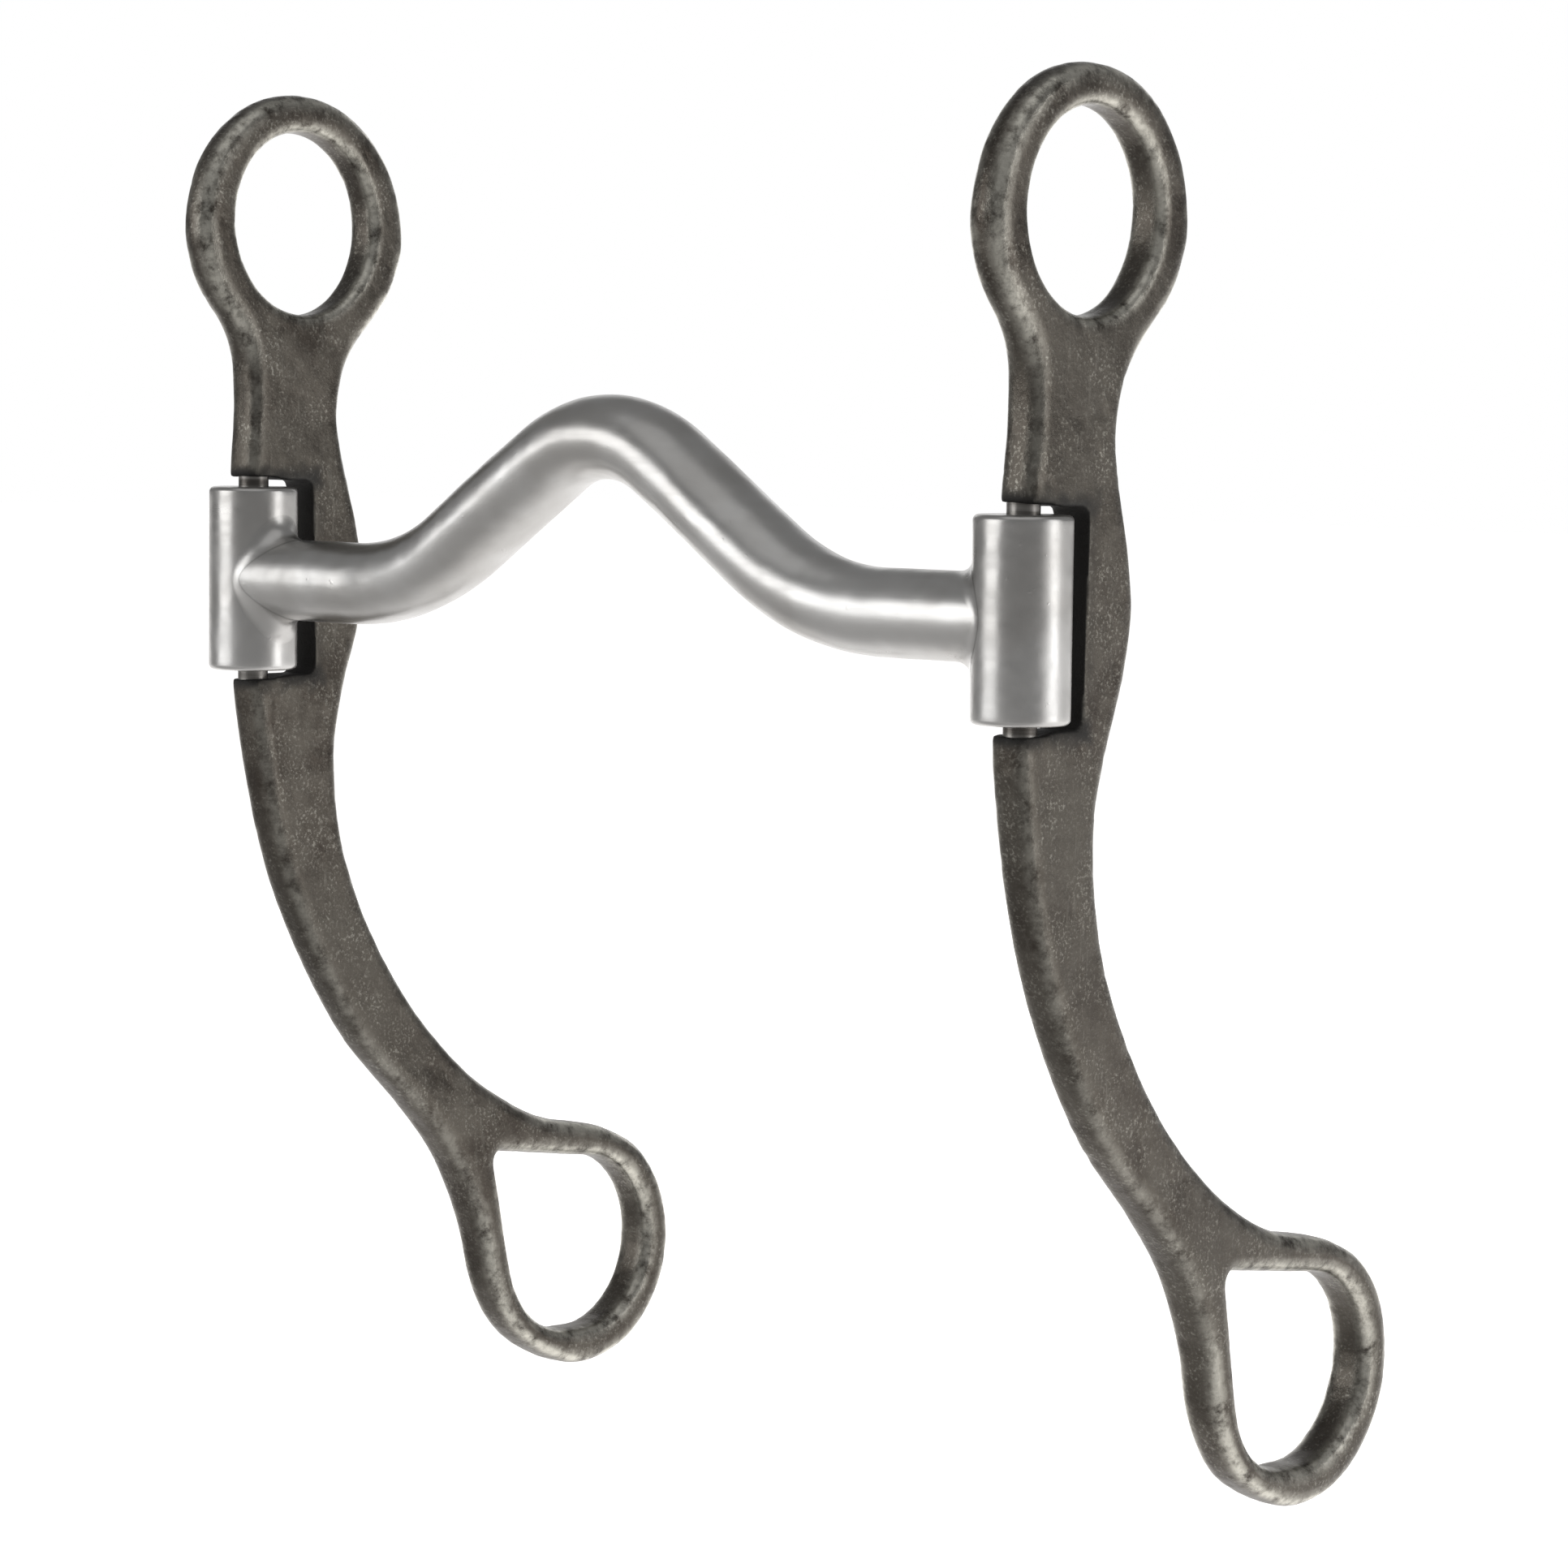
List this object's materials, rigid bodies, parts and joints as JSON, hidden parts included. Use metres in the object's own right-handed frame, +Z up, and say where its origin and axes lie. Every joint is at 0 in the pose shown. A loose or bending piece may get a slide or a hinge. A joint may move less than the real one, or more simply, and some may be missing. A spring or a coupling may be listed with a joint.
{
  "type": "curb bit",
  "caption": "Curb bit with loose swept-back cheeks that turn on upright pins in a low-port steel mouthpiece, with headstall rings and rein eyes.",
  "frame": {"origin": "middle of the mouthpiece, halfway between the two hinge axes and level with the middle of the barrels", "axes": "+X along the mouthpiece to the right cheek, +Y to the rear where the shanks sweep, +Z up to the headstall rings"},
  "size_m": [0.1438, 0.0882, 0.1795],
  "materials": {
    "mouthpiece_steel": "hand-polished stainless steel",
    "pin_steel": "dark worn steel",
    "cheek_steel": "antiqued dark steel, rubbed bright on the edges"
  },
  "bodies": {
    "mouthpiece": {"port_bar": "mouthpiece_steel", "left_barrel": "mouthpiece_steel", "right_barrel": "mouthpiece_steel", "left_weld": "mouthpiece_steel", "right_weld": "mouthpiece_steel"},
    "left_cheek_body": {"left_cheek": "cheek_steel", "left_hinge_pin": "pin_steel"},
    "right_cheek_body": {"right_cheek": "cheek_steel", "right_hinge_pin": "pin_steel"}
  },
  "joints": [
    {"name": "left_cheek_swivel", "type": "hinge", "parent": "mouthpiece", "child": "left_cheek_body", "pos_m": [-0.066, 0, 0], "axis": [0, 0, 1], "range_deg": [-32, 212]},
    {"name": "right_cheek_swivel", "type": "hinge", "parent": "mouthpiece", "child": "right_cheek_body", "pos_m": [0.066, 0, 0], "axis": [0, 0, -1], "range_deg": [-32, 212]}
  ]
}
